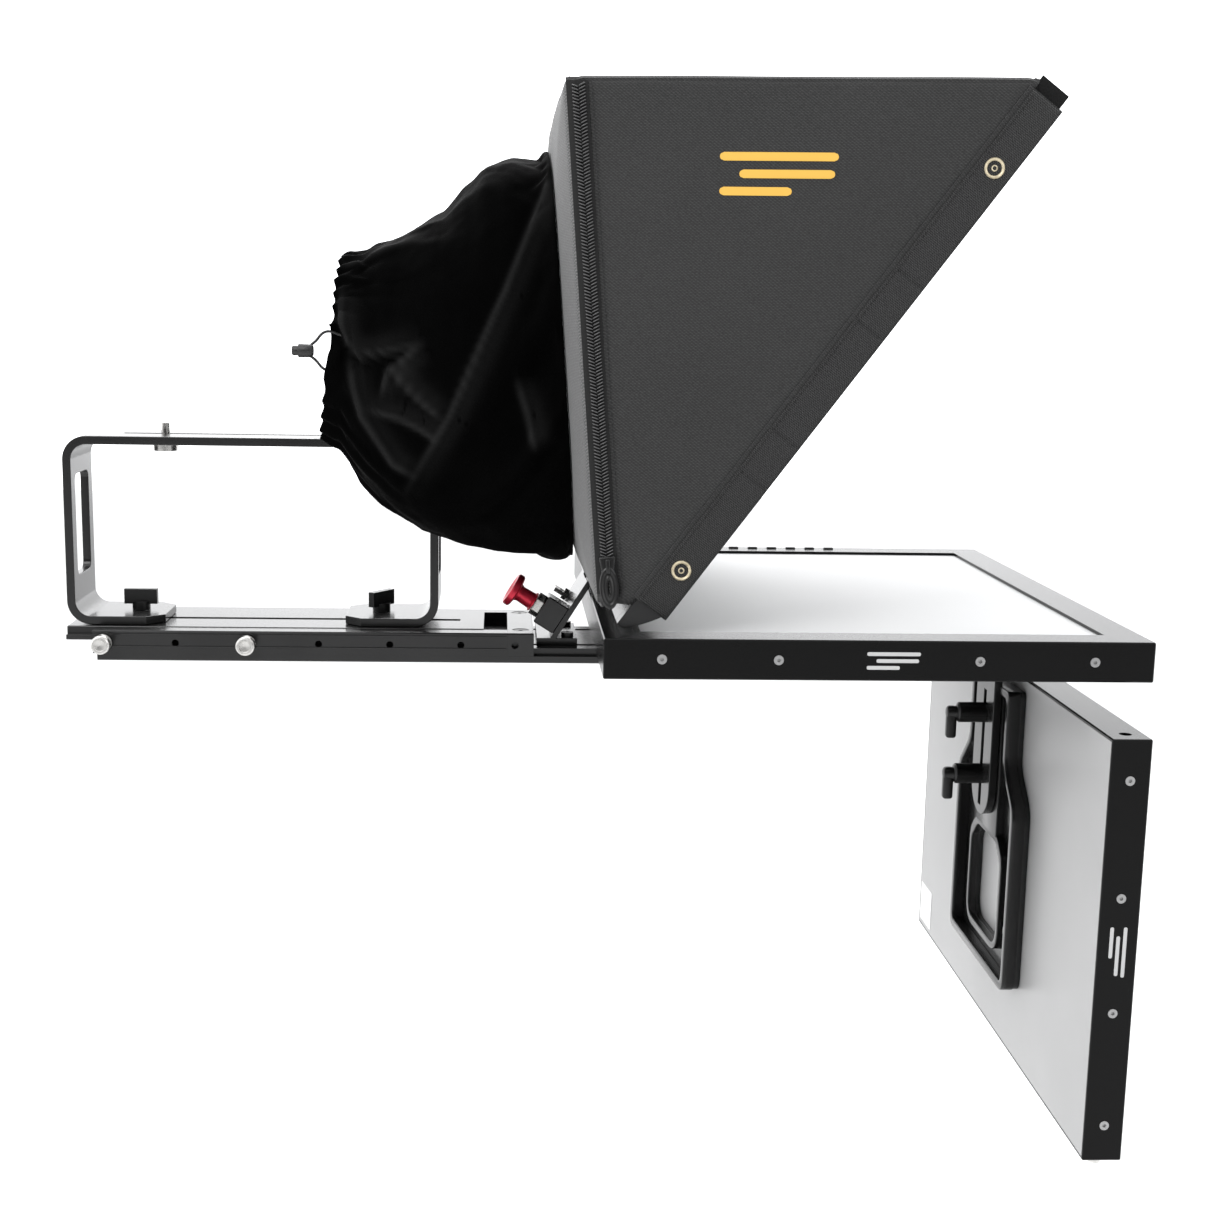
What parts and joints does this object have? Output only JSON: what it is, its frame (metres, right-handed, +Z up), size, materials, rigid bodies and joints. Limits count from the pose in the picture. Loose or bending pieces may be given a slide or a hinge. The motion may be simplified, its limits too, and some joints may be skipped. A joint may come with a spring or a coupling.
{
  "type": "teleprompter",
  "caption": "Beam-splitter teleprompter on camera rails: flat prompter monitor, leaning glass under a cloth hood, velvet lens shroud, camera riser and hanging talent monitor.",
  "frame": {"origin": "centre of the tripod hole on the base rail's underside", "axes": "+X along the rail towards the talent, +Y across, +Z up"},
  "size_m": [0.7254, 0.4508, 0.6989],
  "materials": {
    "black_anodised": "satin black anodised",
    "black_paint": "fine satin black powder coat",
    "turned_steel": "turned and knurled",
    "black_steel": "black oxide",
    "red_anodised": "satin red anodised",
    "screen": "pale satin screen surface",
    "talent_screen": "dark satin screen surface",
    "beam_glass": "half-silvered",
    "circuit": "green laminate with sockets",
    "hood_cloth": "coated woven nylon, dark grey",
    "hood_back_cloth": "coated woven nylon, lighter in grazing light",
    "velvet": "black velvet",
    "stud_metal": "pale gold socket button screws",
    "zip": "coil zip on woven tape",
    "pull_metal": "black zip pull",
    "black_plastic": "moulded black plastic"
  },
  "bodies": {
    "rails": {"base_rail": "black_anodised", "outer_rail": "black_anodised", "rail_end_block": "black_anodised", "rail_screws": "black_steel", "tilt_bracket": "black_anodised", "plunger_block": "black_anodised", "plunger_nut": "turned_steel", "plunger_spring": "turned_steel", "hinge_pin": "turned_steel", "monitor_mount_plate": "black_anodised", "prompter_frame": "black_paint", "prompter_back_cover": "black_paint", "prompter_panel": "screen", "prompter_board": "circuit", "prompter_side_screws": "black_steel", "hanger_arm": "black_anodised"},
    "camera_plate": {"camera_plate": "black_anodised"},
    "camera_riser": {"camera_riser": "black_anodised"},
    "riser_screw_rear": {"riser_screw_rear": "black_steel"},
    "riser_screw_front": {"riser_screw_front": "black_steel"},
    "camera_screw": {"camera_screw": "turned_steel"},
    "rail_knob_rear": {"rail_knob_rear": "turned_steel"},
    "rail_knob_front": {"rail_knob_front": "turned_steel"},
    "plunger": {"plunger_pin": "turned_steel", "plunger_knob": "red_anodised"},
    "wing_screw": {"wing_screw": "turned_steel"},
    "glass_frame": {"frame_base_bar": "black_anodised", "frame_side_near": "black_anodised", "frame_side_far": "black_anodised", "frame_top_bar": "black_anodised", "beam_splitter": "beam_glass", "hood_side_near": "hood_cloth", "hood_side_far": "hood_cloth", "hood_top": "hood_cloth", "hood_rear": "hood_back_cloth", "hood_zippers": "zip", "hood_studs": "stud_metal", "shroud_top": "velvet", "shroud_bottom": "velvet", "shroud_near": "velvet", "shroud_far": "velvet"},
    "zipper_pull_near": {"zipper_pull_near": "pull_metal"},
    "zipper_pull_far": {"zipper_pull_far": "pull_metal"},
    "cord_lock": {"shroud_cord_lock": "black_plastic"},
    "talent_monitor": {"talent_mount_plate": "black_anodised", "talent_frame": "black_paint", "talent_back_cover": "black_paint", "talent_panel": "talent_screen", "talent_board": "circuit", "talent_screws": "black_steel", "talent_studs": "turned_steel"},
    "talent_knob_upper": {"talent_knob_upper": "black_plastic"},
    "talent_knob_lower": {"talent_knob_lower": "black_plastic"},
    "button_1": {"button_1": "black_plastic"},
    "button_2": {"button_2": "black_plastic"},
    "button_3": {"button_3": "black_plastic"},
    "button_4": {"button_4": "black_plastic"},
    "button_5": {"button_5": "black_plastic"},
    "button_6": {"button_6": "black_plastic"},
    "button_7": {"button_7": "black_plastic"}
  },
  "joints": [
    {"name": "camera_plate_slide", "type": "slide", "parent": "rails", "child": "camera_plate", "axis": [1, 0, 0], "range_m": [-0.1, 0.015]},
    {"name": "riser_slide", "type": "slide", "parent": "camera_plate", "child": "camera_riser", "axis": [1, 0, 0], "range_m": [-0.03, 0.015]},
    {"name": "riser_screw_rear_turn", "type": "hinge", "parent": "camera_riser", "child": "riser_screw_rear", "pos_m": [-0.1349, 0, 0.032], "axis": [0, 0, 1], "continuous": true},
    {"name": "riser_screw_front_turn", "type": "hinge", "parent": "camera_riser", "child": "riser_screw_front", "pos_m": [0.0417, 0, 0.032], "axis": [0, 0, 1], "continuous": true},
    {"name": "camera_screw_turn", "type": "hinge", "parent": "camera_riser", "child": "camera_screw", "pos_m": [-0.114, 0, 0.15], "axis": [0, 0, 1], "continuous": true},
    {"name": "rail_knob_rear_turn", "type": "hinge", "parent": "rails", "child": "rail_knob_rear", "pos_m": [-0.1524, -0.055, 0.0129], "axis": [0, -1, 0], "continuous": true},
    {"name": "rail_knob_front_turn", "type": "hinge", "parent": "rails", "child": "rail_knob_front", "pos_m": [-0.0508, -0.055, 0.0129], "axis": [0, -1, 0], "continuous": true},
    {"name": "plunger_pull", "type": "slide", "parent": "rails", "child": "plunger", "axis": [-0.848, 0, 0.5299], "range_m": [0, 0.006], "stiffness_N_per_m": 900, "springref_m": -0.006},
    {"name": "wing_screw_turn", "type": "hinge", "parent": "rails", "child": "wing_screw", "pos_m": [0.18049, 0.02, 0.03799], "axis": [-0.848, 0, 0.5299], "continuous": true},
    {"name": "glass_tilt", "type": "hinge", "parent": "rails", "child": "glass_frame", "pos_m": [0.199, 0, 0.057], "axis": [0, 1, 0], "range_deg": [0, 12]},
    {"name": "zipper_near_slide", "type": "slide", "parent": "glass_frame", "child": "zipper_pull_near", "axis": [-0.0742, 0.0908, 0.9931], "range_m": [0, 0.285]},
    {"name": "zipper_far_slide", "type": "slide", "parent": "glass_frame", "child": "zipper_pull_far", "axis": [-0.0742, -0.0908, 0.9931], "range_m": [0, 0.285]},
    {"name": "cord_lock_slide", "type": "slide", "parent": "glass_frame", "child": "cord_lock", "axis": [-1, 0, 0], "range_m": [0, 0.012]},
    {"name": "talent_height_slide", "type": "slide", "parent": "rails", "child": "talent_monitor", "axis": [0, 0, 1], "range_m": [-0.02, 0.012]},
    {"name": "talent_knob_upper_turn", "type": "hinge", "parent": "talent_monitor", "child": "talent_knob_upper", "pos_m": [0.49, 0, -0.0458], "axis": [1, 0, 0], "continuous": true},
    {"name": "talent_knob_lower_turn", "type": "hinge", "parent": "talent_monitor", "child": "talent_knob_lower", "pos_m": [0.49, 0, -0.0938], "axis": [1, 0, 0], "continuous": true},
    {"name": "button_1_press", "type": "slide", "parent": "rails", "child": "button_1", "axis": [0, 0, -1], "range_m": [0, 0.001], "stiffness_N_per_m": 400, "springref_m": -0.0008},
    {"name": "button_2_press", "type": "slide", "parent": "rails", "child": "button_2", "axis": [0, 0, -1], "range_m": [0, 0.001], "stiffness_N_per_m": 400, "springref_m": -0.0008},
    {"name": "button_3_press", "type": "slide", "parent": "rails", "child": "button_3", "axis": [0, 0, -1], "range_m": [0, 0.001], "stiffness_N_per_m": 400, "springref_m": -0.0008},
    {"name": "button_4_press", "type": "slide", "parent": "rails", "child": "button_4", "axis": [0, 0, -1], "range_m": [0, 0.001], "stiffness_N_per_m": 400, "springref_m": -0.0008},
    {"name": "button_5_press", "type": "slide", "parent": "rails", "child": "button_5", "axis": [0, 0, -1], "range_m": [0, 0.001], "stiffness_N_per_m": 400, "springref_m": -0.0008},
    {"name": "button_6_press", "type": "slide", "parent": "rails", "child": "button_6", "axis": [0, 0, -1], "range_m": [0, 0.001], "stiffness_N_per_m": 400, "springref_m": -0.0008},
    {"name": "button_7_press", "type": "slide", "parent": "rails", "child": "button_7", "axis": [0, 0, -1], "range_m": [0, 0.001], "stiffness_N_per_m": 400, "springref_m": -0.0008}
  ]
}
